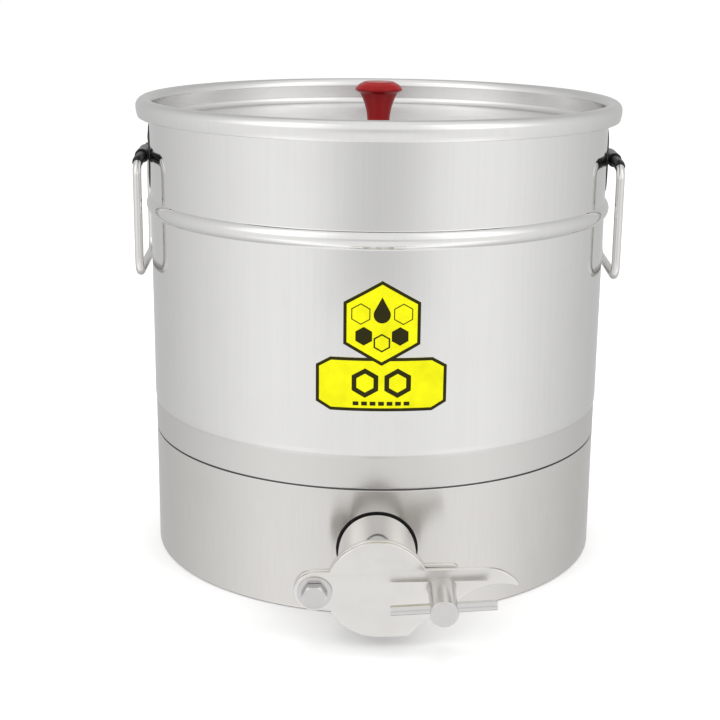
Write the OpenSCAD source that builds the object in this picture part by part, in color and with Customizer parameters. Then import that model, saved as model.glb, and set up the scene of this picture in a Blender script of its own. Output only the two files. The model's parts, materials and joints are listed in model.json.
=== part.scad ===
// Stainless honey settling tank for about 25 kg, with a foot skirt, a lift-off lid,
// two hanging bail handles and a swing gate valve at the front.
// Origin: centre of the standing ring, on the ground. +Z is up, the valve looks towards -Y.

/* [Vessel] */
// Outer radius of the vessel wall
vessel_r = 150; // [140:1:165]
// Thickness of the vessel and skirt sheet
sheet = 1; // [0.8:0.1:1.2]
// Height of the top of the rolled vessel rim
rim_top = 299; // [285:1:330]
// Radius of the rolled vessel rim, outside the sheet
rim_roll_r = 3.3; // [3:0.1:3.3]
// Radius of the stiffening wire inside the rolled rim
rim_wire_r = 2.1; // [1.5:0.1:2.1]
// Height of the middle of the pressed bead
bead_z = 231.8; // [200:1:245]
// Height of the pressed bead along the wall
bead_h = 10.5; // [8:0.5:14]
// How far the pressed bead stands proud of the wall
bead_proud = 2.8; // [2:0.1:3.5]
// Height where the plain lower band meets the upper wall
band_top = 104; // [95:1:120]

/* [Foot and floor] */
// Height of the foot skirt
skirt_h = 80; // [72:1:90]
// Height of the folded hem at the foot of the skirt
hem_h = 6; // [4:1:10]
// Height of the vessel floor at the outlet
floor_front_z = 17; // [15:0.5:17.5]
// Slope of the vessel floor towards the outlet, in degrees
floor_slope = 9; // [4:0.5:10]

/* [Lid] */
// Thickness of the lid sheet
lid_sheet = 0.8; // [0.6:0.1:1]
// Inner radius of the round top that hooks over the rolled rim
lid_hook_r = 4.5; // [4.5:0.1:5]
// Gap between the lid and the top and inside of the rolled rim
lid_gap = 0.5; // [0.4:0.1:0.7]
// Depth of the dished lid panel below the top of the lid
lid_dish = 17.5; // [12:0.5:20]
// Depth of the outer side of the lid below its top
lid_side = 12; // [10.6:0.2:16]
// How far the outer side of the lid curves in at its edge
lid_bow = 0.9; // [0.5:0.1:0.9]
// Radius of the bend between the lid panel and its dish wall
lid_bend_r = 4; // [3:0.5:6]
// Radius of the rolled edge under the lid side
lid_edge_r = 0.7; // [0.6:0.1:0.8]

/* [Knob] */
// Height of the knob above the lid panel
knob_h = 27; // [22:1:32]
// Widest radius of the knob
knob_r = 16; // [14:0.5:20]
// Radius of the knob's neck at the lid
knob_neck_r = 7.3; // [6.5:0.1:9]
// How far the lip of the knob's cap overhangs its flared neck
knob_lip = 3; // [1.5:0.5:4]
// Radius of the flat on top of the knob
knob_flat_r = 9.5; // [6:0.5:12]
// Height of the knob's cap above its widest edge
knob_cap_h = 5.5; // [4:0.5:8]

/* [Outlet] */
// Height of the outlet axis at the skirt
outlet_z = 42; // [42:0.5:45]
// Downward tilt of the outlet and valve, in degrees
outlet_tilt = 5; // [0:0.5:6]
// Turn of the valve about the outlet axis, in degrees
valve_turn = 1.7; // [-3:0.1:3]
// Outer radius of the outlet pipe
pipe_r = 23.5; // [21:0.5:24]
// Wall thickness of the outlet pipe
pipe_wall = 1.5; // [1:0.1:2]
// Length of the outlet pipe in front of the skirt
pipe_reach = 44.2; // [38:0.2:60]
// Radius of the hole in the skirt around the pipe
skirt_hole_r = 24.8; // [24.5:0.1:27]

/* [Gate valve] */
// Radius of the round part of the flange and of the gate plate
gate_r = 30.3; // [29:0.1:32]
// Thickness of the flange and of the gate plate
plate_t = 3; // [2.5:0.5:3.5]
// Distance of the pivot and of the clamp stud from the outlet axis
stud_x = 36.5; // [36:0.5:39]
// Nominal radius of the pivot bolt and of the clamp stud
stud_r = 4; // [3.5:0.1:4]
// Width across the flats of the pivot bolt's hexagon
hex_across_flats = 13; // [12:0.5:14]
// Outer radius of the gate seal
seal_r = 27; // [26:0.5:28]

/* [Clamp nut] */
// Outer radius of the clamp nut
nut_r = 8; // [7.5:0.5:9]
// Length of the clamp nut
nut_len = 26.8; // [22:0.2:32]
// Distance from the nut's outer face to the axis of its bar
bar_setback = 8; // [6:0.5:10]
// Radius of the clamp bar
bar_r = 2.9; // [2.5:0.1:3.2]
// Length of the clamp bar
bar_len = 60; // [50:1:70]
// Angle of the clamp bar to the horizontal when it is tight, in degrees
bar_angle = 2.4; // [-20:0.2:20]

/* [Bail handles] */
// Radius of the bail rod
bail_r = 2.75; // [2.5:0.05:3]
// Distance of the bail axis outside the vessel wall
bail_offset = 4.6; // [4.6:0.1:6]
// Height of the bail axis
bail_z = 262; // [255:1:268]
// Half width of the bail, to the axis of its legs
bail_half_w = 44; // [38:1:52]
// Drop of the bail below its axis
bail_drop = 71.5; // [60:0.5:85]
// Bend radius at the bail's corners
bail_bend_r = 9; // [8:0.5:14]
// Angle by which each bail sits in front of the side, in degrees
bail_forward = 2; // [0:0.5:5]

/* [Labels] */
// Width of the hexagonal emblem label
emblem_w = 45; // [40:0.5:48]
// Height of the middle of the emblem label
emblem_z = 183; // [178:1:188]
// Width of the capacity label
plate_label_w = 77; // [66:1:84]
// Height of the capacity label
plate_label_h = 32.5; // [28:0.5:36]
// Height of the middle of the capacity label
plate_label_z = 146.2; // [142:0.2:150]
// Distance of the middle of the labels to the right of the outlet
label_x = 1.2; // [-5:0.2:5]

/* [Hidden] */
$fn = 96;
wall_fn = 180;
rod_fn = 48;
spare = 1;

// Vessel
band_step = 0.5;
band_r = vessel_r - band_step;
nest_r = band_r - sheet;
nest_in_r = nest_r - sheet;
seam_gap = 1;
band_z0 = skirt_h + seam_gap;
roll_centre_r = vessel_r - sheet + rim_roll_r;
roll_centre_z = rim_top - rim_roll_r;
bead_r = (pow(bead_h / 2, 2) + pow(bead_proud, 2)) / (2 * bead_proud);
bead_centre_r = vessel_r + bead_proud - bead_r;

// Lid, hooked over the rolled rim
hook_out_r = lid_hook_r + lid_sheet;
hook_centre_r = vessel_r - sheet - lid_gap + lid_hook_r;
hook_centre_z = rim_top + lid_gap - lid_hook_r;
lid_top = hook_centre_z + hook_out_r;
lid_out_r = hook_centre_r + hook_out_r;
lid_in_r = hook_centre_r - hook_out_r;
panel_z = lid_top - lid_dish;
panel_under = panel_z - lid_sheet;
lid_edge_z = lid_top - lid_side + lid_edge_r;
lid_side_h = hook_centre_z - lid_edge_z;
lid_side_r = (pow(lid_side_h, 2) + pow(lid_bow, 2)) / (2 * lid_bow);
bend_r_centre = lid_in_r - lid_bend_r;
knob_hole_r = 2.6;
knob_screw_r = 2.5;
knob_washer_t = 1;
knob_washer_r = 7.5;
knob_head_r = 4.6;
knob_head_h = 2.8;
insert_r = 4;
insert_h = 12;
insert_recess = 0.3;
insert_z = panel_z + insert_recess;
screw_grip = 8;
knob_edge_h = 1.2;
knob_lip_h = 1.8;
knob_wide_z = knob_h - knob_cap_h;
knob_flare_h = knob_wide_z - knob_lip_h;
knob_flare_top_r = knob_r - knob_lip;
knob_widen = knob_flare_top_r - knob_neck_r;
knob_flare_r = (pow(knob_widen, 2) + pow(knob_flare_h, 2)) / (2 * knob_widen);

// Valve, along the tilted outlet axis from the skirt outwards
pipe_tail = 20;
flange_front = pipe_reach + plate_t;
seal_proud = 0.3;
gate_back = flange_front + seal_proud;
gate_front = gate_back + plate_t;
seal_w = 2.5;
seal_in_r = seal_r - seal_w;
seal_depth = 1.2;
ear_r = 12;
running_gap = 0.06;
slot_gap = 0.5;
washer_t = 1.6;
face_gap = 0.1;
washer_z = gate_front + face_gap;
head_z = washer_z + washer_t;
hex_r = hex_across_flats / 2 / cos(30);
head_h = 5.3;
hex_nut_h = 6.5;
pivot_washer_r = 10;
spring_washer_r = 7.8;
spring_washer_t = 2;
bolt_tail = 2;
pivot_nut_z = pipe_reach - spring_washer_t - hex_nut_h;
stud_head_h = 3;
bar_z = head_z + nut_len - bar_setback;
stud_end = bar_z - bar_r - face_gap;
nut_cavity_end = bar_z - bar_r / 2;
lug_top = 14.5;
lug_bottom = -11;
lug_end = 46.5;
lug_round = 4;

// Gate plate outline, in the plane of the plate
arm_top = 13;
arm_bottom = -12.5;
horn_reach = 25.5;
horn_x = stud_x + horn_reach;
horn_r = 22;
horn_tip_x = 80.3;
finger_reach = 33.5;
finger_x = stud_x + finger_reach;
finger_y = -30;
finger_r = 33;
lobe_r = 6;
lobe_x = 14;
jaw_side_inset = 3.8;
jaw_side_x = gate_r - jaw_side_inset;
jaw_side_y = -20;
jaw_y = -18.5;
slot_swing = 35;

// Bails and their brackets
bail_x = vessel_r + bail_offset;
bail_straight = bail_half_w - bail_bend_r;
bail_leg = bail_drop - 2 * bail_bend_r;
sleeve_fit = 0.02;
sleeve_in_r = bail_r + sleeve_fit;
sleeve_r = 3.4;
sleeve_turn = 30;
bracket_t = 1;
clip_wall = 1.2;
bracket_clip_r = sleeve_r + running_gap + clip_wall;
bracket_clip_w = 26;
bracket_h = 43;
bracket_w = 38;
bracket_z = 260.5;
bracket_round_r = (pow(bracket_h / 2, 2) + pow(bracket_w / 2, 2)) / bracket_w;
rivet_r = 2;
rivet_head_r = 3.6;
rivet_head_h = 1.1;
rivet_z = [248.5, 273];
rivet_tail = 1.5;
rivet_seat = sqrt(pow(vessel_r - sheet, 2) - pow(rivet_head_r, 2));

// Labels
label_t = 0.25;
emblem_side_h = 25;
emblem_point_h = 12.8;
corner_x = 8.5;
corner_z = 5;

// Places its children on the outlet axis: local z runs outwards, local y runs up the plate.
module on_outlet() {
    translate([0, -band_r, outlet_z])
        rotate([90 + outlet_tilt, 0, 0])
            rotate([0, 0, valve_turn])
                children();
}

// Places its children at a side: side 1 is the right, side -1 the left. Local x runs outwards.
module on_side(side) {
    rotate([0, 0, side == 1 ? -bail_forward : 180 + bail_forward])
        children();
}

// A flat ring along z.
module ring(outer, inner, height) {
    difference() {
        cylinder(r = outer, h = height);
        translate([0, 0, -spare])
            cylinder(r = inner, h = height + 2 * spare);
    }
}

// Space under the sloping floor, which trims the vessel wall.
module under_floor(drop) {
    translate([0, -nest_in_r, floor_front_z])
        rotate([floor_slope, 0, 0])
            translate([-2 * vessel_r, -vessel_r, -drop - vessel_r])
                cube([4 * vessel_r, 4 * vessel_r, vessel_r]);
}

module wall_section() {
    difference() {
        union() {
            translate([nest_in_r, 0])
                square([sheet, band_z0 + sheet]);
            translate([nest_in_r, band_z0])
                square([2 * sheet, sheet]);
            translate([nest_r, band_z0])
                square([sheet, band_top - band_z0]);
            polygon([
                [nest_r, band_top - 2 * sheet],
                [band_r, band_top - 2 * sheet],
                [vessel_r, band_top],
                [vessel_r - sheet, band_top]
            ]);
            translate([vessel_r - sheet, band_top])
                square([sheet, roll_centre_z - band_top]);
            translate([roll_centre_r, roll_centre_z])
                circle(r = rim_roll_r);
            intersection() {
                translate([bead_centre_r, bead_z])
                    circle(r = bead_r);
                translate([vessel_r - sheet, bead_z - bead_h])
                    square([bead_h, 2 * bead_h]);
            }
        }
        translate([bead_centre_r, bead_z])
            circle(r = bead_r - sheet);
        translate([roll_centre_r, roll_centre_z])
            circle(r = rim_roll_r - sheet);
    }
}

module rivet_holes() {
    for (side = [-1, 1], z = rivet_z)
        on_side(side)
            translate([vessel_r - 2 * sheet, 0, z])
                rotate([0, 90, 0])
                    cylinder(r = rivet_r, h = 4 * sheet);
}

module tank_wall() {
    color("silver")
        difference() {
            rotate_extrude($fn = wall_fn)
                wall_section();
            under_floor(sheet);
            on_outlet()
                translate([0, 0, -pipe_tail])
                    cylinder(r = pipe_r, h = pipe_tail + spare);
            rivet_holes();
        }
}

module rim_wire() {
    color("gray")
        rotate_extrude($fn = wall_fn)
            translate([roll_centre_r, roll_centre_z])
                circle(r = rim_wire_r, $fn = rod_fn);
}

module tank_floor() {
    color("lightgray")
        intersection() {
            cylinder(r = nest_in_r, h = skirt_h, $fn = wall_fn);
            translate([0, -nest_in_r, floor_front_z])
                rotate([floor_slope, 0, 0])
                    translate([-2 * vessel_r, -vessel_r, -sheet])
                        cube([4 * vessel_r, 4 * vessel_r, sheet]);
        }
}

module foot_skirt() {
    color("darkgray")
        difference() {
            union() {
                ring(band_r, nest_r, skirt_h, $fn = wall_fn);
                ring(band_r, nest_in_r, hem_h, $fn = wall_fn);
            }
            translate([0, 0, outlet_z])
                rotate([90, 0, 0])
                    cylinder(r = skirt_hole_r, h = 2 * vessel_r);
        }
}

module outlet_pipe() {
    color("silver")
        difference() {
            on_outlet()
                translate([0, 0, -pipe_tail])
                    ring(pipe_r, pipe_r - pipe_wall, pipe_tail + pipe_reach);
            cylinder(r = nest_in_r, h = skirt_h, $fn = wall_fn);
        }
}

// Rectangle from corner to corner with round corners, made of circles and squares.
module rounded_rect(x0, y0, x1, y1, r) {
    translate([x0 + r, y0])
        square([x1 - x0 - 2 * r, y1 - y0]);
    translate([x0, y0 + r])
        square([x1 - x0, y1 - y0 - 2 * r]);
    for (x = [x0 + r, x1 - r], y = [y0 + r, y1 - r])
        translate([x, y])
            circle(r = r);
}

// Round disc with an ear around the pivot, shared by the flange and the gate plate.
module disc_and_ear() {
    circle(r = gate_r);
    translate([-stud_x, 0])
        circle(r = ear_r);
    translate([-stud_x, -ear_r])
        square([stud_x, 2 * ear_r]);
}

module valve_flange() {
    color("gainsboro")
        on_outlet()
            difference() {
                translate([0, 0, pipe_reach])
                    linear_extrude(plate_t)
                        union() {
                            disc_and_ear();
                            rounded_rect(0, lug_bottom, lug_end, lug_top, lug_round);
                        }
                translate([0, 0, pipe_reach - spare])
                    cylinder(r = pipe_r - pipe_wall, h = plate_t + 2 * spare);
                translate([0, 0, flange_front - seal_depth])
                    ring(seal_r, seal_in_r, seal_depth + spare);
                for (x = [-stud_x, stud_x])
                    translate([x, 0, pipe_reach - spare])
                        cylinder(r = stud_r, h = plate_t + 2 * spare);
            }
}

module gate_seal() {
    color("ivory")
        on_outlet()
            translate([0, 0, flange_front - seal_depth])
                ring(seal_r, seal_in_r, seal_depth + seal_proud);
}

module gate_outline() {
    difference() {
        union() {
            disc_and_ear();
            translate([lobe_x, lobe_r - gate_r])
                circle(r = lobe_r);
            polygon([
                [0, 0],
                [0, -gate_r],
                [lobe_x, -gate_r],
                [lobe_x + lobe_r * cos(45), lobe_r - gate_r - lobe_r * sin(45)],
                [jaw_side_x, jaw_side_y],
                [gate_r, jaw_y],
                [stud_x, jaw_y],
                [stud_x, 0]
            ]);
            translate([0, arm_bottom])
                square([horn_x, arm_top - arm_bottom]);
            intersection() {
                translate([horn_x, arm_top - horn_r])
                    circle(r = horn_r);
                translate([horn_x, arm_bottom])
                    square([horn_tip_x - horn_x, arm_top - arm_bottom]);
            }
        }
        translate([finger_x, finger_y])
            circle(r = finger_r);
    }
}

module gate_plate() {
    color("whitesmoke")
        on_outlet()
            difference() {
                translate([0, 0, gate_back])
                    linear_extrude(plate_t)
                        gate_outline();
                translate([-stud_x, 0, gate_back - spare])
                    cylinder(r = stud_r + running_gap, h = plate_t + 2 * spare);
                translate([stud_x, 0, gate_back - spare])
                    cylinder(r = stud_r + slot_gap, h = plate_t + 2 * spare);
                translate([-stud_x, 0, gate_back - spare])
                    rotate([0, 0, -slot_swing])
                        rotate_extrude(angle = slot_swing)
                            translate([2 * stud_x - stud_r - slot_gap, 0])
                                square([2 * (stud_r + slot_gap), plate_t + 2 * spare]);
            }
}

module pivot_bolt() {
    color("silver")
        on_outlet()
            translate([-stud_x, 0, 0]) {
                translate([0, 0, pivot_nut_z - bolt_tail])
                    cylinder(r = stud_r, h = head_z - pivot_nut_z + bolt_tail);
                translate([0, 0, head_z])
                    cylinder(r = hex_r, h = head_h, $fn = 6);
            }
}

module pivot_washer() {
    color("lightgray")
        on_outlet()
            translate([-stud_x, 0, washer_z])
                ring(pivot_washer_r, stud_r, washer_t);
}

module pivot_spring_washer() {
    color("gray")
        on_outlet()
            translate([-stud_x, 0, pipe_reach - spring_washer_t])
                ring(spring_washer_r, stud_r, spring_washer_t);
}

module pivot_nut() {
    color("silver")
        on_outlet()
            translate([-stud_x, 0, pivot_nut_z])
                difference() {
                    cylinder(r = hex_r, h = hex_nut_h, $fn = 6);
                    translate([0, 0, -spare])
                        cylinder(r = stud_r, h = hex_nut_h + 2 * spare);
                }
}

module clamp_stud() {
    color("silver")
        on_outlet()
            translate([stud_x, 0, 0]) {
                translate([0, 0, pipe_reach - stud_head_h])
                    cylinder(r = hex_r, h = stud_head_h);
                translate([0, 0, pipe_reach])
                    cylinder(r = stud_r, h = stud_end - pipe_reach);
            }
}

module clamp_washer() {
    color("lightgray")
        on_outlet()
            translate([stud_x, 0, washer_z])
                ring(nut_r, stud_r + running_gap, washer_t);
}

module clamp_nut() {
    color("silver")
        on_outlet()
            translate([stud_x, 0, head_z])
                difference() {
                    cylinder(r = nut_r, h = nut_len);
                    translate([0, 0, -spare])
                        cylinder(r = stud_r + running_gap, h = nut_cavity_end - head_z + spare);
                    translate([0, 0, bar_z - head_z])
                        rotate([0, 90, bar_angle])
                            cylinder(r = bar_r, h = 4 * nut_r, center = true);
                }
}

module clamp_bar() {
    color("silver")
        on_outlet()
            translate([stud_x, 0, bar_z])
                rotate([0, 90, bar_angle])
                    cylinder(r = bar_r, h = bar_len, center = true);
}

// Leaf-shaped plate around the wall with a clip over the bail's sleeve.
module bail_bracket(side) {
    color("black")
        on_side(side)
            difference() {
                union() {
                    intersection() {
                        cylinder(r = vessel_r + bracket_t, h = rim_top, $fn = wall_fn);
                        intersection_for (y = [-1, 1])
                            translate([0, y * (bracket_round_r - bracket_w / 2), bracket_z])
                                rotate([0, 90, 0])
                                    cylinder(r = bracket_round_r, h = 2 * vessel_r);
                    }
                    translate([bail_x, 0, bail_z])
                        rotate([90, 0, 0])
                            cylinder(r = bracket_clip_r, h = bracket_clip_w, center = true);
                }
                translate([0, 0, -spare])
                    cylinder(r = vessel_r, h = rim_top + 2 * spare, $fn = wall_fn);
                translate([bail_x, 0, bail_z])
                    rotate([90, 0, 0])
                        cylinder(r = sleeve_r + running_gap, h = 2 * bracket_clip_w, center = true);
                for (z = rivet_z)
                    translate([vessel_r - 2 * sheet, 0, z])
                        rotate([0, 90, 0])
                            cylinder(r = rivet_r, h = bracket_t + 4 * sheet);
            }
}

module left_bracket() {
    bail_bracket(-1);
}

module right_bracket() {
    bail_bracket(1);
}

module bracket_rivets(side) {
    color("silver")
        on_side(side)
            for (z = rivet_z)
                translate([0, 0, z])
                    rotate([0, 90, 0]) {
                        translate([0, 0, rivet_seat - rivet_tail])
                            cylinder(r = rivet_head_r, h = rivet_tail);
                        translate([0, 0, rivet_seat])
                            cylinder(r = rivet_r, h = vessel_r + bracket_t - rivet_seat);
                        translate([0, 0, vessel_r + bracket_t])
                            cylinder(r = rivet_head_r, h = rivet_head_h);
                    }
}

module left_bracket_rivets() {
    bracket_rivets(-1);
}

module right_bracket_rivets() {
    bracket_rivets(1);
}

// Places its children at the bail's axis: local y runs along the axis, local z runs up.
module on_bail(side) {
    on_side(side)
        translate([bail_x, 0, bail_z])
            children();
}

// Round corner of a bail, centred on its bend: from straight up, through an angle towards -y.
module bail_corner(outer, inner, angle) {
    rotate([0, 90, 0])
        rotate([0, 0, 180])
            rotate_extrude(angle = angle)
                translate([bail_bend_r, 0])
                    difference() {
                        circle(r = outer, $fn = rod_fn);
                        if (inner > 0)
                            circle(r = inner, $fn = rod_fn);
                    }
}

module bail(side) {
    color("silver")
        on_bail(side) {
            for (z = [0, -bail_drop])
                translate([0, 0, z])
                    rotate([90, 0, 0])
                        cylinder(r = bail_r, h = 2 * bail_straight, center = true, $fn = rod_fn);
            for (turn = [0, 180])
                rotate([0, 0, turn]) {
                    translate([0, -bail_straight, -bail_bend_r])
                        bail_corner(bail_r, 0, 90);
                    translate([0, -bail_half_w, -bail_bend_r - bail_leg])
                        cylinder(r = bail_r, h = bail_leg, $fn = rod_fn);
                    translate([0, -bail_straight, -bail_bend_r - bail_leg])
                        rotate([180, 0, 180])
                            bail_corner(bail_r, 0, 90);
                }
        }
}

module left_bail() {
    bail(-1);
}

module right_bail() {
    bail(1);
}

module bail_sleeve(side) {
    color("dimgray")
        on_bail(side) {
            translate([0, bail_straight, 0])
                rotate([90, 0, 0])
                    ring(sleeve_r, sleeve_in_r, 2 * bail_straight);
            for (turn = [0, 180])
                rotate([0, 0, turn])
                    translate([0, -bail_straight, -bail_bend_r])
                        bail_corner(sleeve_r, sleeve_in_r, sleeve_turn);
        }
}

module left_bail_sleeve() {
    bail_sleeve(-1);
}

module right_bail_sleeve() {
    bail_sleeve(1);
}

// Quarter ring: the part of a ring section between two directions along the axes.
module quarter_ring(centre_r, centre_z, outer, inner, right, up) {
    translate([centre_r, centre_z])
        intersection() {
            difference() {
                circle(r = outer);
                circle(r = inner);
            }
            translate([right ? 0 : -outer, up ? 0 : -outer])
                square([outer, outer]);
        }
}

module lid_section() {
    translate([knob_hole_r, panel_under])
        square([bend_r_centre - knob_hole_r, lid_sheet]);
    quarter_ring(bend_r_centre, panel_z + lid_bend_r, lid_bend_r + lid_sheet, lid_bend_r, true, false);
    translate([lid_in_r, panel_z + lid_bend_r])
        square([lid_sheet, hook_centre_z - panel_z - lid_bend_r]);
    for (right = [false, true])
        quarter_ring(hook_centre_r, hook_centre_z, hook_out_r, lid_hook_r, right, true);
    intersection() {
        translate([lid_out_r - lid_side_r, hook_centre_z])
            difference() {
                circle(r = lid_side_r, $fn = 4 * wall_fn);
                circle(r = lid_side_r - lid_sheet, $fn = 4 * wall_fn);
            }
        translate([hook_centre_r, lid_edge_z])
            square([hook_out_r, lid_side_h]);
    }
    translate([lid_out_r - lid_bow - lid_edge_r, lid_edge_z])
        circle(r = lid_edge_r);
}

module lid_pan() {
    color("silver")
        rotate_extrude($fn = wall_fn)
            lid_section();
}

module lid_knob() {
    color("firebrick")
        translate([0, 0, panel_z])
            rotate_extrude()
                difference() {
                    union() {
                        square([knob_flare_top_r, knob_flare_h]);
                        polygon([
                            [0, knob_flare_h],
                            [knob_flare_top_r, knob_flare_h],
                            [knob_r, knob_wide_z],
                            [knob_r, knob_wide_z + knob_edge_h],
                            [knob_flat_r, knob_h],
                            [0, knob_h]
                        ]);
                    }
                    translate([knob_neck_r + knob_flare_r, 0])
                        circle(r = knob_flare_r);
                    square([insert_r, insert_z - panel_z + insert_h]);
                }
}

module knob_insert() {
    color("goldenrod")
        translate([0, 0, insert_z])
            ring(insert_r, knob_screw_r, insert_h);
}

module knob_screw() {
    color("silver") {
        translate([0, 0, panel_under - knob_washer_t - knob_head_h])
            cylinder(r = knob_head_r, h = knob_head_h);
        translate([0, 0, panel_under - knob_washer_t])
            cylinder(r = knob_screw_r, h = knob_washer_t + lid_sheet + screw_grip);
    }
}

module knob_washer() {
    color("lightgray")
        translate([0, 0, panel_under - knob_washer_t])
            ring(knob_washer_r, knob_hole_r, knob_washer_t);
}

// Thin label that follows the wall: the outline is drawn in x and z.
module wall_label() {
    intersection() {
        rotate([90, 0, 0])
            linear_extrude(2 * vessel_r)
                children();
        ring(vessel_r + label_t, vessel_r, rim_top, $fn = wall_fn);
    }
}

module emblem_outline() {
    translate([label_x, emblem_z])
        polygon([
            [0, emblem_side_h / 2 + emblem_point_h],
            [-emblem_w / 2, emblem_side_h / 2],
            [-emblem_w / 2, -emblem_side_h / 2],
            [0, -emblem_side_h / 2 - emblem_point_h],
            [emblem_w / 2, -emblem_side_h / 2],
            [emblem_w / 2, emblem_side_h / 2]
        ]);
}

module capacity_outline() {
    translate([label_x, plate_label_z])
        difference() {
            square([plate_label_w, plate_label_h], center = true);
            for (x = [-1, 1], y = [-1, 1])
                scale([x, y])
                    translate([plate_label_w / 2, plate_label_h / 2])
                        polygon([[0, 0], [-corner_x, 0], [0, -corner_z]]);
        }
}

module emblem_label() {
    color("yellow")
        wall_label()
            emblem_outline();
}

module capacity_label() {
    color("gold")
        wall_label()
            difference() {
                capacity_outline();
                emblem_outline();
            }
}

tank_wall();
rim_wire();
tank_floor();
foot_skirt();
outlet_pipe();
valve_flange();
gate_seal();
gate_plate();
pivot_bolt();
pivot_washer();
pivot_spring_washer();
pivot_nut();
clamp_stud();
clamp_washer();
clamp_nut();
clamp_bar();
left_bracket();
right_bracket();
left_bracket_rivets();
right_bracket_rivets();
left_bail();
right_bail();
left_bail_sleeve();
right_bail_sleeve();
lid_pan();
lid_knob();
knob_insert();
knob_screw();
knob_washer();
emblem_label();
capacity_label();
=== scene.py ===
import json
import math

import bmesh
import bpy
from mathutils import Matrix, Vector
from mathutils.geometry import tessellate_polygon


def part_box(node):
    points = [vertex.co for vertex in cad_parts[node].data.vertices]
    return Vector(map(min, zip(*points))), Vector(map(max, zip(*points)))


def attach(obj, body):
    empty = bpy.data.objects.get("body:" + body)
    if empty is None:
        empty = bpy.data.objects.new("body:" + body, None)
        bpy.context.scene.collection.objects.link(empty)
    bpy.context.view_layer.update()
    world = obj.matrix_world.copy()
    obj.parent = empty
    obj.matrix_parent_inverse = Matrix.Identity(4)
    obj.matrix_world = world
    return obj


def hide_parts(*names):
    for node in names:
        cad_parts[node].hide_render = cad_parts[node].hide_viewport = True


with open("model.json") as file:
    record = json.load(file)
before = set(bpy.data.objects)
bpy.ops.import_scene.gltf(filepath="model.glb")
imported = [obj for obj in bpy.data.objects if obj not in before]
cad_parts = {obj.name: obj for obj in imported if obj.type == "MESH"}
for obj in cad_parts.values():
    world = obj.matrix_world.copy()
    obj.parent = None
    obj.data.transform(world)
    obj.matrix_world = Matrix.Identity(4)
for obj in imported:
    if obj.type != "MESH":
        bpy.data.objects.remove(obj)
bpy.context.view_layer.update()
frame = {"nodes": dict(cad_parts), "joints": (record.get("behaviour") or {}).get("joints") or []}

# Looks of the honey settling tank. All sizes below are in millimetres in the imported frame,
# unless a comment says otherwise; meshes are scaled to metres when they are made.
MM = 0.001


# ---------------------------------------------------------------- sizes from the frame
def box_mm(node):
    lo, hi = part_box(node)
    return lo / MM, hi / MM


def joint(name):
    return next(j for j in frame["joints"] if j["name"] == name)


SHEET = 1.0
BAND_R = box_mm("foot_skirt")[1].x
SKIRT_TOP = box_mm("foot_skirt")[1].z
NEST_R = BAND_R - SHEET
NEST_IN_R = NEST_R - SHEET
VESSEL_R = BAND_R + 0.5
BAND_Z0 = SKIRT_TOP + 1
BAND_TOP = 104.0
STEP_BELOW, STEP_ABOVE, STEP_EASE = 4, 1, 3
BAND_BLUR = 0.6
SEAM_MID = (SKIRT_TOP + BAND_Z0) / 2
# painted shade: half-widths of the dark line painted in the gap between the skirt's top and the band
SEAM_SHADE_FULL, SEAM_SHADE_FADE = 0.5, 0.8
RIM_TOP = box_mm("tank_wall")[1].z
RIM_OUT = box_mm("tank_wall")[1].x
RIM_ROLL = (RIM_OUT - VESSEL_R + SHEET) / 2
FLOOR_FRONT_Z = 17.0
FLOOR_SLOPE = math.radians(9)
BEAD_Z, BEAD_H, BEAD_PROUD = 231.8, 10.5, 2.8
BEAD_ARC_R = ((BEAD_H / 2) ** 2 + BEAD_PROUD ** 2) / (2 * BEAD_PROUD)
BEAD_CENTRE_R = VESSEL_R + BEAD_PROUD - BEAD_ARC_R
HEM_H = 6.0

LID_SHEET = 0.8
LID_OUT_R = box_mm("lid_pan")[1].x
LID_TOP = box_mm("lid_pan")[1].z
LID_HOOK = 4.5 + LID_SHEET
LID_C_R = LID_OUT_R - LID_HOOK
LID_C_Z = LID_TOP - LID_HOOK
LID_PANEL_Z = LID_TOP - 17.5
LID_BEND = 4.0
LID_EDGE_R = 0.7
LID_BOW = 0.9
LID_EDGE_Z = LID_TOP - 12.0 + LID_EDGE_R
KNOB_TOP = box_mm("lid_knob")[1].z
KNOB_R = box_mm("lid_knob")[1].x
KNOB_NECK, KNOB_LIP, KNOB_LIP_H = 7.3, 3.0, 1.8
KNOB_CAP_H, KNOB_EDGE_H, KNOB_FLAT = 5.5, 1.2, 9.5
KNOB_SHOULDER_R, KNOB_SHOULDER_H = 13.2, 1.9
KNOB_BORE = 4.1
LID_BORE = 2.6

STUD_X = 36.5
STUD_R = 4.0
SHANK_R = STUD_R - 0.02
THREAD_GAP, SLIDE_GAP = 0.05, 0.06
HEX_FLATS = 13.0
THREAD_PITCH = 1.25
PIPE_R = 23.5
PIPE_WALL = 1.5
PIPE_END = 44.2
PIPE_IN, PIPE_CHAMFER = 2.6, 1.2
WELD_H, WELD_R = 2.6, 1.9
# painted shade: radii of the dark ring painted on the wall round the outlet pipe, in place of the shade
# inside the skirt's hole
HOLE_SHADE_DARK, HOLE_SHADE_FADE = 3, 5
PLATE_T = 3.0
GATE_MID = 49.0
WASHER_Z = 50.6
WASHER_T = 1.6
HEAD_Z = WASHER_Z + WASHER_T
HEAD_H = 5.3
HEX_NUT_H = 6.5
PIVOT_WASHER_R = 10.0
SPRING_R, SPRING_T = 7.8, 2.0
STUD_HEAD_H = 3.0
BAR_SETBACK = 8.0
NUT_R = 8.0
NUT_LEN = 26.8
BAR_R = 2.9
BAR_LEN = 60.0
BAR_Z = HEAD_Z + NUT_LEN - BAR_SETBACK
BAR_TURN = math.radians(2.4)
SKIRT_HOLE_R = 24.8

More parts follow.
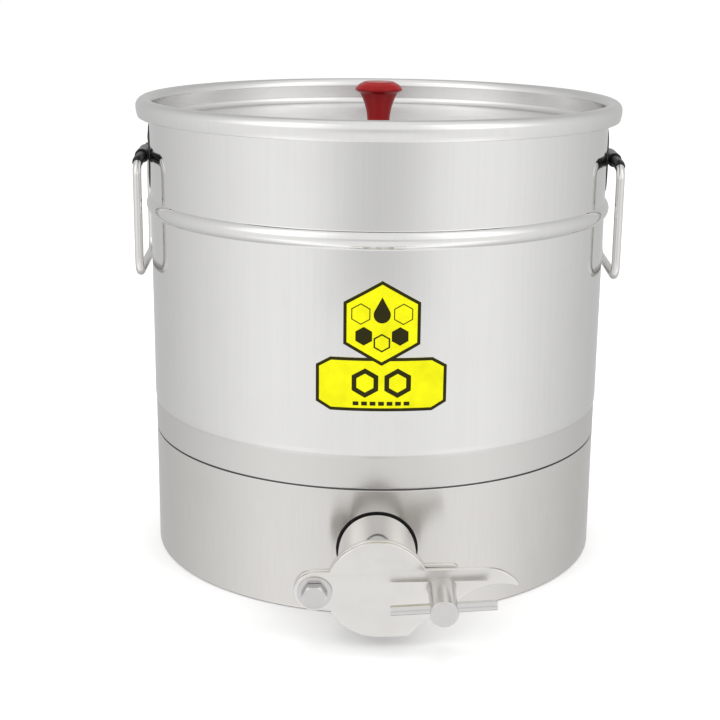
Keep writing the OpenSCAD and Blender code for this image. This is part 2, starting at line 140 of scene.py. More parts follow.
BAIL_R = 2.75
BAIL_HALF_W = 44.0
BAIL_DROP = 71.5
BAIL_BEND = 9.0
SLEEVE_R = 3.4
SLEEVE_TURN = 30
CLIP_BORE = SLEEVE_R + 0.06
CLIP_R = 4.66
CLIP_W = 26.0
LEAF_W, LEAF_H, LEAF_Z = 38.0, 43.0, 260.5
RIVET_Z = (248.5, 273.0)
RIVET_HEAD = 3.6
RIVET_SHANK_R = 2.0
RIVET_TAIL_NEAR, RIVET_TAIL_FAR = -2.06, -3.5

LABEL_X = 1.2
EMBLEM_HALF_W, EMBLEM_Z, EMBLEM_SIDE, EMBLEM_POINT = 22.5, 183.0, 12.5, 12.8
PLAQUE_HALF_W, PLAQUE_HALF_H, PLAQUE_Z = 38.5, 16.25, 146.2
LABEL_T = 0.25
INK_T = 0.03
BORDER = 1.9

SMOOTH = 288
FINE = 96
SHARP = 38


# ---------------------------------------------------------------- outlines
def arc(cx, cy, r, start, end, steps):
    """Points round a centre, from one angle to another, in degrees."""
    turn = math.radians(end - start)
    first = math.radians(start)
    angles = [first + turn * i / steps for i in range(steps + 1)]
    return [(cx + r * math.cos(a), cy + r * math.sin(a)) for a in angles]


def fillet(a, b, c, radius, steps=4):
    """Rounds the corner b of the path a, b, c."""
    pa, pb, pc = Vector(a[:2]), Vector(b[:2]), Vector(c[:2])
    u, v = pa - pb, pc - pb
    turn = math.pi - u.angle(v, math.pi)
    if turn < 0.01:
        return [tuple(pb)]
    cut = min(radius * math.tan(turn / 2), 0.49 * u.length, 0.49 * v.length)
    start, end = pb + u.normalized() * cut, pb + v.normalized() * cut
    points = []
    for i in range(steps + 1):
        t = i / steps
        points.append(tuple(start * (1 - t) ** 2 + pb * 2 * t * (1 - t) + end * t * t))
    return points


def outline(corners, closed=True):
    """A path through corners (x, y) or (x, y, radius); a radius rounds that corner."""
    count = len(corners)
    path = []
    for i, corner in enumerate(corners):
        ends = not closed and i in (0, count - 1)
        if len(corner) < 3 or ends:
            path.append(tuple(corner[:2]))
            continue
        before, after = corners[i - 1], corners[(i + 1) % count]
        path += fillet(before, corner, after, corner[2])
    return path


def supported(path, closed=True, reach=0.7):
    """Adds points near both ends of long stretches, so that smooth shading stays flat between."""
    result = []
    count = len(path)
    for i, point in enumerate(path):
        result.append(point)
        if i == count - 1 and not closed:
            break
        a, b = Vector(point), Vector(path[(i + 1) % count])
        length = (b - a).length
        if length > 4 * reach:
            step = (b - a) * (reach / length)
            result += [tuple(a + step), tuple(b - step)]
    return result


# ---------------------------------------------------------------- meshes
def skin(rings, wrap_rings=False):
    """Vertices and faces of a skin over rings of equal length, closed at both ends or wrapped round."""
    width = len(rings[0])
    verts = [p for ring in rings for p in ring]
    faces = []
    last = len(rings) if wrap_rings else len(rings) - 1
    for i in range(last):
        low, high = i * width, ((i + 1) % len(rings)) * width
        for k in range(width):
            n = (k + 1) % width
            faces.append((low + k, low + n, high + n, high + k))
    if not wrap_rings:
        top = (len(rings) - 1) * width
        faces.append(tuple(reversed(range(width))))
        faces.append(tuple(range(top, top + width)))
    return verts, faces


def lathe(path, segments=FINE, closed=True, radius_at=None):
    """A solid turned round z from a path of (radius, height)."""
    rings = []
    for r, z in path:
        ring = []
        for k in range(segments):
            a = 2 * math.pi * k / segments
            point_r, point_z = radius_at(r, z, a) if radius_at else (r, z)
            ring.append(Vector((point_r * math.cos(a), point_r * math.sin(a), point_z)))
        rings.append(ring)
    return skin(rings, wrap_rings=closed)


def joined(*parts):
    """Several shells as one list of vertices and faces."""
    verts, faces = [], []
    for part_verts, part_faces in parts:
        start = len(verts)
        verts += part_verts
        faces += [tuple(i + start for i in f) for f in part_faces]
    return verts, faces


def moved(part, matrix):
    verts, faces = part
    return [matrix @ v for v in verts], faces


def make(name, part, material, body, nodes=(), sharp=SHARP):
    """A piece from vertices and faces: it rides on a body and stands for CAD nodes."""
    verts, faces = part
    mesh = bpy.data.meshes.new(name)
    mesh.from_pydata([v * MM for v in verts], [], faces)
    tidy = bmesh.new()
    tidy.from_mesh(mesh)
    bmesh.ops.recalc_face_normals(tidy, faces=tidy.faces)
    tidy.to_mesh(mesh)
    tidy.free()
    smooth(mesh, sharp)
    obj = bpy.data.objects.new(name, mesh)
    bpy.context.scene.collection.objects.link(obj)
    mesh.materials.append(material)
    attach(obj, body)
    if nodes:
        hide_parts(*nodes)
    return obj


def smooth(mesh, sharp):
    for face in mesh.polygons:
        face.use_smooth = True
    mesh.set_sharp_from_angle(angle=math.radians(sharp))


def cut(obj, cutter, sharp=SHARP):
    """Takes a solid, given as vertices and faces, out of a piece."""
    verts, faces = cutter
    mesh = bpy.data.meshes.new("cutter")
    mesh.from_pydata([v * MM for v in verts], [], faces)
    tool = bpy.data.objects.new("cutter", mesh)
    bpy.context.scene.collection.objects.link(tool)
    step = obj.modifiers.new("cut", "BOOLEAN")
    step.operation, step.solver, step.object = "DIFFERENCE", "EXACT", tool
    view = bpy.context.evaluated_depsgraph_get()
    result = bpy.data.meshes.new_from_object(obj.evaluated_get(view))
    obj.modifiers.clear()
    obj.data = result
    bpy.data.objects.remove(tool)
    smooth(result, sharp)


# ---------------------------------------------------------------- frames of reference
AXIS = Vector(joint("gate_swing")["axis"])
PIVOT = Vector(joint("gate_swing")["pos_m"]) / MM
CLAMP = Vector(joint("clamp_turn")["pos_m"]) / MM
BETWEEN = CLAMP - PIVOT
ACROSS = (BETWEEN - AXIS * BETWEEN.dot(AXIS)).normalized()
UP_PLATE = AXIS.cross(ACROSS)
OUTLET = Matrix((ACROSS, UP_PLATE, AXIS)).transposed().to_4x4()
OUTLET.translation = PIVOT + ACROSS * STUD_X - AXIS * GATE_MID


def on_outlet(x=0.0, y=0.0, z=0.0):
    return OUTLET @ Matrix.Translation((x, y, z))


def on_bail(side):
    """At a bail's hinge: local x outwards, y along the hinge, z up."""
    name = "right_bail_swing" if side > 0 else "left_bail_swing"
    place = Vector(joint(name)["pos_m"]) / MM
    out = Vector((place.x, place.y, 0)).normalized()
    along = Vector((0, 0, 1)).cross(out)
    matrix = Matrix((out, along, Vector((0, 0, 1)))).transposed().to_4x4()
    matrix.translation = place
    return matrix


# ---------------------------------------------------------------- materials
def math_node(tree, operation, a, b=None, clamp=False):
    item = tree.nodes.new("ShaderNodeMath")
    item.operation, item.use_clamp = operation, clamp
    for socket, value in zip(item.inputs, (a, b)):
        if isinstance(value, (int, float)):
            socket.default_value = value
        elif value is not None:
            tree.links.new(value, socket)
    return item.outputs[0]


def remap(tree, source, low, high, to_low, to_high, smoothed=False):
    item = tree.nodes.new("ShaderNodeMapRange")
    item.interpolation_type = "SMOOTHSTEP" if smoothed else "LINEAR"
    for name, value in (("From Min", low), ("From Max", high), ("To Min", to_low), ("To Max", to_high)):
        item.inputs[name].default_value = value
    tree.links.new(source, item.inputs["Value"])
    return item.outputs["Result"]


def grey(value, warm=0.0):
    return (value * (1 + warm), value, value * (1 - 1.6 * warm), 1)


def start_material(name):
    material = bpy.data.materials.new(name)
    material.use_nodes = True
    tree = material.node_tree
    return material, tree, tree.nodes["Principled BSDF"]


def place_of(tree):
    return tree.nodes.new("ShaderNodeTexCoord").outputs["Object"]


def stretched(tree, place, scale):
    item = tree.nodes.new("ShaderNodeMapping")
    item.inputs["Scale"].default_value = scale
    tree.links.new(place, item.inputs["Vector"])
    return item.outputs["Vector"]


def noise(tree, place, scale, detail=3.0, rough=0.55):
    item = tree.nodes.new("ShaderNodeTexNoise")
    item.inputs["Scale"].default_value = scale
    item.inputs["Detail"].default_value = detail
    item.inputs["Roughness"].default_value = rough
    tree.links.new(place, item.inputs["Vector"])
    return item.outputs["Fac"]


def bump(tree, shader, heights):
    """Chains height fields, each with its strength and depth in metres, into the shader's normal."""
    last = None
    for height, strength, depth in heights:
        item = tree.nodes.new("ShaderNodeBump")
        item.inputs["Strength"].default_value = strength
        item.inputs["Distance"].default_value = depth
        tree.links.new(height, item.inputs["Height"])
        if last:
            tree.links.new(last, item.inputs["Normal"])
        last = item.outputs["Normal"]
    tree.links.new(last, shader.inputs["Normal"])


def mixed(tree, factor, first, second):
    item = tree.nodes.new("ShaderNodeMix")
    item.data_type = "RGBA"
    for name, value in (("A", first), ("B", second)):
        socket = next(s for s in item.inputs if s.name == name and s.type == "RGBA")
        if isinstance(value, tuple):
            socket.default_value = value
        else:
            tree.links.new(value, socket)
    tree.links.new(factor, item.inputs["Factor"])
    return next(s for s in item.outputs if s.type == "RGBA")


def mixed_value(tree, factor, first, second):
    item = tree.nodes.new("ShaderNodeMix")
    for name, value in (("A", first), ("B", second)):
        socket = next(s for s in item.inputs if s.name == name and s.type == "VALUE")
        if isinstance(value, (int, float)):
            socket.default_value = value
        else:
            tree.links.new(value, socket)
    tree.links.new(factor, item.inputs["Factor"])
    return next(s for s in item.outputs if s.type == "VALUE")


def painted_hole_shade(tree, place, low, high):
    """1 on the painted shade round the outlet pipe on the front of the wall, standing in for the shade
    inside the skirt's hole, fading to 0 between two radii, in metres.
    """
    away = tree.nodes.new("ShaderNodeVectorMath")
    away.operation = "DISTANCE"
    tree.links.new(stretched(tree, place, (1, 0, 1)), away.inputs[0])
    away.inputs[1].default_value = (0, 0, OUTLET.translation.z * MM)
    sides = tree.nodes.new("ShaderNodeSeparateXYZ")
    tree.links.new(place, sides.inputs[0])
    front = remap(tree, sides.outputs["Y"], 0, -low, 0, 1)
    return math_node(tree, "MULTIPLY", remap(tree, away.outputs["Value"], low, high, 1, 0, True), front)


def bright_sheet(name, satin_below=None, rough_low=0.06, rough_high=0.12):
    """Bright-annealed sheet: nearly a mirror, with faint upright rolling streaks and smudges.
    Below a height in metres it is satin, as the plain lower band is; there it also gets a painted shade line
    in the gap above the skirt and painted shade round the outlet pipe."""
    material, tree, shader = start_material(name)
    place = place_of(tree)
    streak = noise(tree, stretched(tree, place, (1, 1, 0.02)), 420, 4)
    broad = noise(tree, stretched(tree, place, (1, 1, 0.35)), 26, 2)
    smudge = noise(tree, place, 34, 3)
    tone = mixed(tree, remap(tree, streak, 0.3, 0.7, 0, 1), grey(0.718, 0.006), grey(0.735, 0.006))
    tone = mixed(tree, remap(tree, smudge, 0.45, 0.8, 0, 0.3, True), tone, grey(0.69, 0.014))
    rough = remap(tree, smudge, 0.35, 0.75, rough_low, rough_high, True)
    if satin_below is not None:
        blur = BAND_BLUR * MM
        height = tree.nodes.new("ShaderNodeSeparateXYZ")
        tree.links.new(place, height.inputs[0])
        below = remap(tree, height.outputs["Z"], satin_below + blur, satin_below - blur, 0, 1, True)
        grain = noise(tree, stretched(tree, place, (1, 1, 0.05)), 900, 3)
        matt = mixed(tree, grain, grey(0.62, 0.018), grey(0.65, 0.018))
        tone = mixed(tree, below, tone, matt)
        rough = mixed_value(tree, below, rough, 0.24)
        # painted shade: a dark line painted on the wall in the 1 mm gap above the skirt, where shade falls
        # in the groove
        seam = math_node(tree, "ABSOLUTE", math_node(tree, "SUBTRACT", height.outputs["Z"], SEAM_MID * MM))
        tone = mixed(tree, remap(tree, seam, SEAM_SHADE_FULL * MM, SEAM_SHADE_FADE * MM, 1, 0, True), tone, grey(0.12))
        # painted shade: the wall round the outlet pipe is painted near black and rough, in place of the
        # shade seen through the skirt's hole round the pipe
        scale = painted_hole_shade(tree, place, (PIPE_R + HOLE_SHADE_DARK) * MM, (PIPE_R + HOLE_SHADE_FADE) * MM)
        tone = mixed(tree, scale, tone, grey(0.03))
        rough = mixed_value(tree, scale, rough, 0.6)
    shader.inputs["Metallic"].default_value = 1
    tree.links.new(tone, shader.inputs["Base Color"])
    tree.links.new(rough, shader.inputs["Roughness"])
    bump(tree, shader, [(broad, 0.1, 0.0012), (streak, 0.015, 0.0002)])
    return material


def satin_sheet(name, tone_low=0.61, tone_high=0.66, rough_low=0.17, rough_high=0.24, warm=0.024):
    """Mill-finish sheet: soft blurred gloss with a fine upright grain and a cloudy sheen."""
    material, tree, shader = start_material(name)
    place = place_of(tree)
    grain = noise(tree, stretched(tree, place, (1, 1, 0.06)), 950, 4)
    cloud = noise(tree, place, 22, 2)
    tone = mixed(tree, grain, grey(tone_low, warm), grey(tone_high, warm))
    tone = mixed(tree, remap(tree, cloud, 0.4, 0.8, 0, 0.4, True), tone, grey(tone_low - 0.03, warm + 0.01))
    shader.inputs["Metallic"].default_value = 1
    tree.links.new(tone, shader.inputs["Base Color"])
    tree.links.new(remap(tree, cloud, 0.3, 0.7, rough_low, rough_high), shader.inputs["Roughness"])
    around = tree.nodes.new("ShaderNodeTangent")
    around.direction_type, around.axis = "RADIAL", "Z"
    tree.links.new(around.outputs["Tangent"], shader.inputs["Tangent"])
    shader.inputs["Anisotropic"].default_value = 0.7
    shader.inputs["Anisotropic Rotation"].default_value = 0.25
    bump(tree, shader, [(grain, 0.05, 0.0002)])
    return material


def worked_steel(name, tone, rough, grain_scale, stretch=(1, 1, 1), warm=0.012, depth=0.0001):
    """Cast, turned or cut steel or brass, with a fine grain and cloudy tarnish."""
    material, tree, shader = start_material(name)
    place = place_of(tree)
    grain = noise(tree, stretched(tree, place, stretch), grain_scale, 3)
    cloud = noise(tree, place, 60, 2)
    colour = mixed(tree, grain, grey(tone - 0.02, warm), grey(tone + 0.02, warm))
    colour = mixed(tree, remap(tree, cloud, 0.45, 0.8, 0, 0.4, True), colour, grey(tone - 0.05, warm + 0.01))
    shader.inputs["Metallic"].default_value = 1
    tree.links.new(colour, shader.inputs["Base Color"])
    tree.links.new(remap(tree, cloud, 0.3, 0.7, rough - 0.04, rough + 0.05), shader.inputs["Roughness"])
    bump(tree, shader, [(grain, 0.15, depth), (cloud, 0.06, 0.0004)])
    return material


def moulded(name, colour, worn, rough, scale, depth, gloss=0.5):
    """Plastic, rubber or enamel: a fine skin texture, paler where it is rubbed."""
    material, tree, shader = start_material(name)
    place = place_of(tree)
    skin_height = noise(tree, place, scale, 3)
    cloud = noise(tree, place, 90, 3)
    deep = tuple(0.85 * c for c in colour[:3]) + (1,)
    tone = mixed(tree, remap(tree, cloud, 0.35, 0.75, 0, 1), colour, deep)
    tone = mixed(tree, remap(tree, skin_height, 0.66, 0.8, 0, 0.5), tone, worn)
    tree.links.new(tone, shader.inputs["Base Color"])
    tree.links.new(remap(tree, cloud, 0.3, 0.7, rough - 0.04, rough + 0.06), shader.inputs["Roughness"])
    shader.inputs["Specular IOR Level"].default_value = gloss
    bump(tree, shader, [(skin_height, 0.2, depth)])
    return material


def floor_material():
    material, tree, shader = start_material("pale_floor")
    place = place_of(tree)
    fleck = noise(tree, place, 9, 3)
    tree.links.new(mixed(tree, fleck, grey(0.90), grey(0.93)), shader.inputs["Base Color"])
    tree.links.new(remap(tree, fleck, 0.3, 0.7, 0.55, 0.65), shader.inputs["Roughness"])
    return material


POLISHED = bright_sheet("bright_stainless_sheet", satin_below=(BAND_TOP - 2) * MM)
LID_STEEL = bright_sheet("bright_lid_sheet", rough_low=0.17, rough_high=0.23)
SATIN = satin_sheet("satin_stainless_sheet")
PIPE_STEEL = bright_sheet("bright_pipe")
VALVE = worked_steel("cast_valve_steel", 0.71, 0.21, 700, warm=0.022)
TURNED = worked_steel("turned_steel", 0.62, 0.20, 500)
FASTENER = worked_steel("bolt_steel", 0.60, 0.20, 800)
ROD = worked_steel("drawn_rod_steel", 0.70, 0.17, 500, (1, 1, 0.08))
ENAMEL = moulded("black_enamel_coat", (0.008, 0.008, 0.009, 1), (0.03, 0.03, 0.032, 1), 0.26, 900, 0.00012)
SLEEVE = moulded("black_tube_plastic", (0.008, 0.008, 0.009, 1), (0.02, 0.02, 0.022, 1),
                 0.36, 1400, 0.00006, 0.3)
RED = moulded("red_gloss_plastic", (0.235, 0.0022, 0.0035, 1), (0.28, 0.006, 0.008, 1),
              0.24, 300, 0.00003, 0.2)
RUBBER = moulded("seal_silicone", (0.52, 0.50, 0.45, 1), (0.62, 0.6, 0.56, 1), 0.5, 1100, 0.00008)
BRASS = worked_steel("turned_brass", 0.55, 0.25, 900, warm=0.22)
VINYL = moulded("yellow_vinyl", (0.70, 0.68, 0.002, 1), (0.84, 0.82, 0.012, 1), 0.4, 700, 0.00002, 0.1)
INK = moulded("black_print", (0.020, 0.018, 0.002, 1), (0.04, 0.035, 0.006, 1), 0.45, 900, 0.00002, 0.1)


# ---------------------------------------------------------------- vessel
def floor_height(y):
    """Top of the sloping floor under a point of the wall."""
    return FLOOR_FRONT_Z + (y + NEST_IN_R) * math.tan(FLOOR_SLOPE)


def on_floor(r, z, angle):
    """Lets the lowest edge of the wall follow the floor."""
    if z > 0:
        return r, z
    return r, floor_height(r * math.sin(angle)) - 0.4


def wall_path():
    reach = math.degrees(math.asin(BEAD_H / 2 / BEAD_ARC_R))
    roll_r, roll_z = RIM_OUT - RIM_ROLL, RIM_TOP - RIM_ROLL
    back = math.degrees(math.acos((roll_r - VESSEL_R) / RIM_ROLL))
    bead = arc(BEAD_CENTRE_R, BEAD_Z, BEAD_ARC_R, -reach, reach, 18)
    inner_reach = math.degrees(math.acos((VESSEL_R - SHEET - BEAD_CENTRE_R) / (BEAD_ARC_R - SHEET)))
    inner = arc(BEAD_CENTRE_R, BEAD_Z, BEAD_ARC_R - SHEET, inner_reach, -inner_reach, 12)
    outer = [(NEST_R, 0), (NEST_R, BAND_Z0, 0.3), (BAND_R, BAND_Z0, 0.7)]
    outer += [(BAND_R, BAND_TOP - STEP_BELOW, STEP_EASE)]
    outer += [(VESSEL_R, BAND_TOP + STEP_ABOVE, STEP_EASE)]
    outer += [(*bead[0], 0.9)] + bead[1:-1] + [(*bead[-1], 1.6)]
    outer += arc(roll_r, roll_z, RIM_ROLL, -180 + back, 180, 34)
    inside = [(VESSEL_R - SHEET, roll_z)] + inner
    inside += [(VESSEL_R - SHEET, BAND_TOP, 1), (NEST_R, BAND_TOP - 2, 1), (NEST_R, BAND_Z0 + SHEET, 0.4)]
    inside += [(NEST_IN_R, BAND_Z0, 0.4), (NEST_IN_R, 0)]
    return supported(outline(outer + inside))


def outlet_cutter(radius, start, end):
    return moved(lathe([(radius, start), (radius, end)], FINE, closed=False), OUTLET)


def build_vessel():
    wall = make("tank_shell", lathe(wall_path(), SMOOTH, radius_at=on_floor),
                POLISHED, "tank", ["tank_wall"])
    cut(wall, outlet_cutter(PIPE_R - 0.2, -30, 8))
    edge = [(BAND_R, SKIRT_TOP, 0.35), (NEST_R, SKIRT_TOP, 0.2)]
    edge += [(NEST_R, HEM_H, 0.2), (NEST_IN_R, HEM_H, 0.45)]
    hem = arc(NEST_R, SHEET, SHEET, 180, 360, 10)
    skirt = make("foot_ring_skirt", lathe(supported(outline(edge + hem)), SMOOTH),
                 SATIN, "tank", ["foot_skirt"])
    hole = Matrix.Translation((0, 0, OUTLET.translation.z)) @ Matrix.Rotation(math.pi / 2, 4, "X")
    cut(skirt, moved(lathe([(SKIRT_HOLE_R, 100), (SKIRT_HOLE_R, 200)], FINE, closed=False), hole))


def pipe_start(r, z, angle):
    """Lets the inner end of the pipe lie on the inside of the vessel wall."""
    if z > 0:
        return r, z
    point = OUTLET @ Vector((r * math.cos(angle), r * math.sin(angle), 0))
    depth = -math.sqrt(NEST_IN_R ** 2 - point.x ** 2) - point.y
    return r, depth / AXIS.y


def build_outlet():
    """The outlet pipe: its end sits in the flange, with a weld bead round it behind the flange."""
    bore = PIPE_R - PIPE_WALL
    path = [(bore, 0), (bore, PIPE_END + PIPE_IN), (bore + PIPE_CHAMFER, PIPE_END + PIPE_IN)]
    path += [(PIPE_R, PIPE_END + 1.0), (PIPE_R + WELD_R, PIPE_END - 0.1)]
    path += [(PIPE_R + 1.2, PIPE_END - 0.8), (PIPE_R + 0.35, PIPE_END - 1.6)]
    path += [(PIPE_R, PIPE_END - WELD_H), (PIPE_R, 0)]
    make("outlet_tube", moved(lathe(supported(path), FINE, radius_at=pipe_start), OUTLET),
         PIPE_STEEL, "tank", ["outlet_pipe"])


# ---------------------------------------------------------------- lid
def lid_path():
    inner_hook = LID_HOOK - LID_SHEET
    edge_r = LID_OUT_R - LID_BOW - LID_EDGE_R
    edge_z = LID_EDGE_Z
    top = [(LID_BORE, LID_PANEL_Z), (LID_C_R - LID_HOOK - LID_BEND, LID_PANEL_Z)]
    top += arc(LID_C_R - LID_HOOK - LID_BEND, LID_PANEL_Z + LID_BEND, LID_BEND, -90, 0, 10)[1:]
    top += arc(LID_C_R, LID_C_Z, LID_HOOK, 180, 0, 40)
    side_h = LID_C_Z - edge_z
    side_r = (side_h ** 2 + LID_BOW ** 2) / (2 * LID_BOW)
    reach = math.degrees(math.asin(side_h / side_r))
    top += arc(LID_OUT_R - side_r, LID_C_Z, side_r, 0, -reach, 12)[1:]
    top += arc(edge_r, edge_z, LID_EDGE_R, -reach, -215, 12)[1:]
    under = arc(LID_OUT_R - side_r, LID_C_Z, side_r - LID_SHEET, -reach + 2, 0, 8)
    under += arc(LID_C_R, LID_C_Z, inner_hook, 0, 180, 32)[1:]
    bend = LID_BEND + LID_SHEET
    under += arc(LID_C_R - LID_HOOK - LID_BEND, LID_PANEL_Z + LID_BEND, bend, 0, -90, 8)
    under += [(LID_BORE, LID_PANEL_Z - LID_SHEET)]
    return supported(outline(top + under))


def knob_path():
    base, top, neck = LID_PANEL_Z, KNOB_TOP, KNOB_NECK
    wide_z = top - KNOB_CAP_H
    flare_h = wide_z - KNOB_LIP_H - base
    widen = KNOB_R - KNOB_LIP - neck
    arc_r = (widen ** 2 + flare_h ** 2) / (2 * widen)
    reach = math.degrees(math.asin(flare_h / arc_r))
    flare = [(x, base + y) for x, y in arc(neck + arc_r, 0, arc_r, 180, 180 - reach, 16)]
    cap = [(KNOB_R, wide_z, 0.4), (KNOB_R, wide_z + KNOB_EDGE_H, 1.4)]
    cap += [(KNOB_SHOULDER_R, top - KNOB_SHOULDER_H, 3.5), (KNOB_FLAT, top, 2.5), (1.0, top)]
    path = [(KNOB_BORE, base)] + flare[:-1] + [(*flare[-1], 0.8)] + cap
    return supported(outline(path, closed=False), closed=False)


def build_lid():
    make("lid_shell", lathe(lid_path(), SMOOTH), LID_STEEL, "lid", ["lid_pan"])
    make("lid_knob_turned", lathe(knob_path(), FINE, closed=False), RED, "lid", ["lid_knob"])


# ---------------------------------------------------------------- fasteners
def hexagon_radius(angle):
    sector = angle % (math.pi / 3) - math.pi / 6
    return HEX_FLATS / 2 / math.cos(sector)


ON_HEXAGON = 999


def hexagon(z0, z1, hole=0.0, chamfer_low=True):
    """A hexagon with turned corners, and a hole if it is a nut. ON_HEXAGON marks its six sides."""
    flat_r = HEX_FLATS / 2 * 0.97
    slope = math.tan(math.radians(30))

    def shaped(r, z, angle):
        if r != ON_HEXAGON:
            return r, z
        corner = hexagon_radius(angle)
        drop = max(0.0, corner - flat_r) * slope
        if z > (z0 + z1) / 2:
            return corner, z1 - drop
        return corner, z0 + (drop if chamfer_low else 0)

    first = flat_r if chamfer_low else HEX_FLATS / 2 * 0.99
    path = [(first, z0), (ON_HEXAGON, z0), (ON_HEXAGON, z1), (flat_r, z1)]
    if hole:
        path = [(hole, z1 - 0.5), (hole, z0 + 0.5), (hole + 0.5, z0)] + path + [(hole + 0.5, z1)]
        return lathe(path, 72, closed=True, radius_at=shaped)
    return lathe(path, 72, closed=False, radius_at=shaped)


def thread(z0, z1, radius=STUD_R, tip_high=True, tip_low=False):
    """A threaded rod with a helical ridge and chamfered tips."""
    deep = 0.61 * THREAD_PITCH

    def ridge(_, z, angle):
        phase = (z / THREAD_PITCH - angle / (2 * math.pi)) % 1
        height = radius - deep * abs(2 * phase - 1)
        if tip_high:
            height = min(height, radius - 0.9 + max(0, z1 - z))
        if tip_low:
            height = min(height, radius - 0.9 + max(0, z - z0))
        return height, z

    count = max(2, round((z1 - z0) / THREAD_PITCH * 8))
    path = [(radius, z0 + (z1 - z0) * i / count) for i in range(count + 1)]
    return lathe(path, 40, closed=False, radius_at=ridge)


def washer(hole, outer, z, thick, ease=0.2):
    path = outline([(hole, z, ease), (outer, z, ease), (outer, z + thick, ease), (hole, z + thick, ease)])
    return lathe(path, FINE)


def spring_washer(hole, outer, z, thick):
    """A split ring whose ends stand a little apart."""
    rings = []
    steps = 64
    for i in range(steps + 1):
        a = math.radians(8 + 346 * i / steps)
        lift = (thick * 0.12) * (i / steps)
        corners = [(hole, z), (outer, z), (outer, z + thick * 0.86), (hole, z + thick * 0.86)]
        rings.append([Vector((r * math.cos(a), r * math.sin(a), h + lift)) for r, h in corners])
    return skin(rings)


def build_fasteners():
    nut_z = PIPE_END - SPRING_T - HEX_NUT_H
    pivot = on_outlet(-STUD_X)
    bolt = joined(
        hexagon(HEAD_Z + 0.4, HEAD_Z + HEAD_H, chamfer_low=False),
        lathe([(HEX_FLATS / 2 * 0.95, HEAD_Z), (HEX_FLATS / 2 * 0.95, HEAD_Z + 0.45)], FINE, closed=False),
        lathe([(SHANK_R, PIPE_END - 1), (SHANK_R, HEAD_Z + 0.1)], FINE, closed=False),
        thread(nut_z - 2, PIPE_END - 0.9, SHANK_R, tip_high=False, tip_low=True),
    )
    make("pivot_bolt_m8", moved(bolt, pivot), FASTENER, "tank", ["pivot_bolt"], 28)
    make("pivot_flat_washer", moved(washer(STUD_R + 0.02, PIVOT_WASHER_R, WASHER_Z, WASHER_T), pivot),
         FASTENER, "tank", ["pivot_washer"])
    split = spring_washer(STUD_R + THREAD_GAP, SPRING_R, PIPE_END - SPRING_T, SPRING_T)
    make("pivot_split_washer", moved(split, pivot),
         FASTENER, "tank", ["pivot_spring_washer"])
    make("pivot_hex_nut", moved(hexagon(nut_z, nut_z + HEX_NUT_H, STUD_R + THREAD_GAP), pivot),
         FASTENER, "tank", ["pivot_nut"], 28)


def build_clamp():
    stud = on_outlet(STUD_X)
    stud_end = BAR_Z - BAR_R - 0.1
    head_r = HEX_FLATS / 2 / math.cos(math.pi / 6)
    back = PIPE_END - STUD_HEAD_H
    head = outline([(STUD_R, PIPE_END), (head_r, PIPE_END, 0.3), (head_r, back, 0.5)], closed=False)
    rod = joined(
        lathe(head + [(1.0, back)], FINE, closed=False),
        lathe([(SHANK_R, PIPE_END - 0.5), (SHANK_R, PIPE_END + PLATE_T)], FINE, closed=False),
        thread(PIPE_END + PLATE_T - 0.1, stud_end),
    )
    make("clamp_stud_m8", moved(rod, stud), FASTENER, "tank", ["clamp_stud"], 50)
    make("clamp_flat_washer", moved(washer(STUD_R + SLIDE_GAP, NUT_R, WASHER_Z, WASHER_T), stud),
         FASTENER, "clamp_slide", ["clamp_washer"])
    low, high = HEAD_Z, HEAD_Z + NUT_LEN
    cavity = BAR_Z - BAR_R / 2
    path = [(0.5, cavity), (STUD_R + SLIDE_GAP, cavity), (STUD_R + SLIDE_GAP, low, 0.5), (NUT_R, low, 0.6)]
    path += [(NUT_R, high, 0.8), (0.5, high)]
    make("clamp_turned_nut", moved(lathe(supported(outline(path, False), False), FINE, closed=False), stud),
         TURNED, "clamp_handle", ["clamp_nut"])
    half = BAR_LEN / 2
    rod_path = outline([(0.6, -half), (BAR_R, -half, 0.5), (BAR_R, half, 0.5), (0.6, half)], closed=False)
    turn = on_outlet(STUD_X, 0, BAR_Z) @ Matrix.Rotation(BAR_TURN, 4, "Z")
    turn = turn @ Matrix.Rotation(math.pi / 2, 4, "Y")
    make("clamp_tommy_bar", moved(lathe(supported(rod_path, False), FINE, closed=False), turn),
         TURNED, "clamp_handle", ["clamp_bar"])


# ---------------------------------------------------------------- valve plates
FACE_TOLERANCE = 0.05


def merged_points(local):
    """The distinct points of a plate in its own plane, and where each vertex is among them."""
    keys, points, index = {}, [], []
    for p in local:
        key = (round(p.x, 2), round(p.y, 2))
        if key not in keys:
            keys[key] = len(points)
            points.append(Vector((p.x, p.y)))
        index.append(keys[key])
    return points, index


def border_edges(polygons):
    """The edges that only one polygon has, as a table of each point's next point."""
    edges = {}
    for ids in polygons:
        for a, b in zip(ids, ids[1:] + ids[:1]):
            if (b, a) in edges:
                del edges[(b, a)]
            else:
                edges[(a, b)] = True
    return dict(edges.keys())


def chained(following):
    """The closed loops through a table of each point's next point."""
    loops = []
    while following:
        start, current = following.popitem()
        loop = [start]
        while current != start:
            loop.append(current)
            current = following.pop(current)
        loops.append(loop)
    return loops


def front_loops(node):
    """The closed outlines of the outward face of a flat CAD plate, in the outlet's plane."""
    mesh = frame["nodes"][node].data
    inverse = OUTLET.inverted()
    local = [inverse @ (v.co / MM) for v in mesh.vertices]
    top = max(p.z for p in local)
    points, index = merged_points(local)
    faces = [list(face.vertices) for face in mesh.polygons]
    outward = [face for face in faces if min(local[i].z for i in face) >= top - FACE_TOLERANCE]
    following = border_edges([[index[i] for i in face] for face in outward])
    loops = [[points[i] for i in loop] for loop in chained(following)]
    loops.sort(key=lambda loop: -abs(area(loop)))
    return loops, top


def area(loop):
    return sum(a.cross(b) for a, b in zip(loop, loop[1:] + loop[:1])) / 2


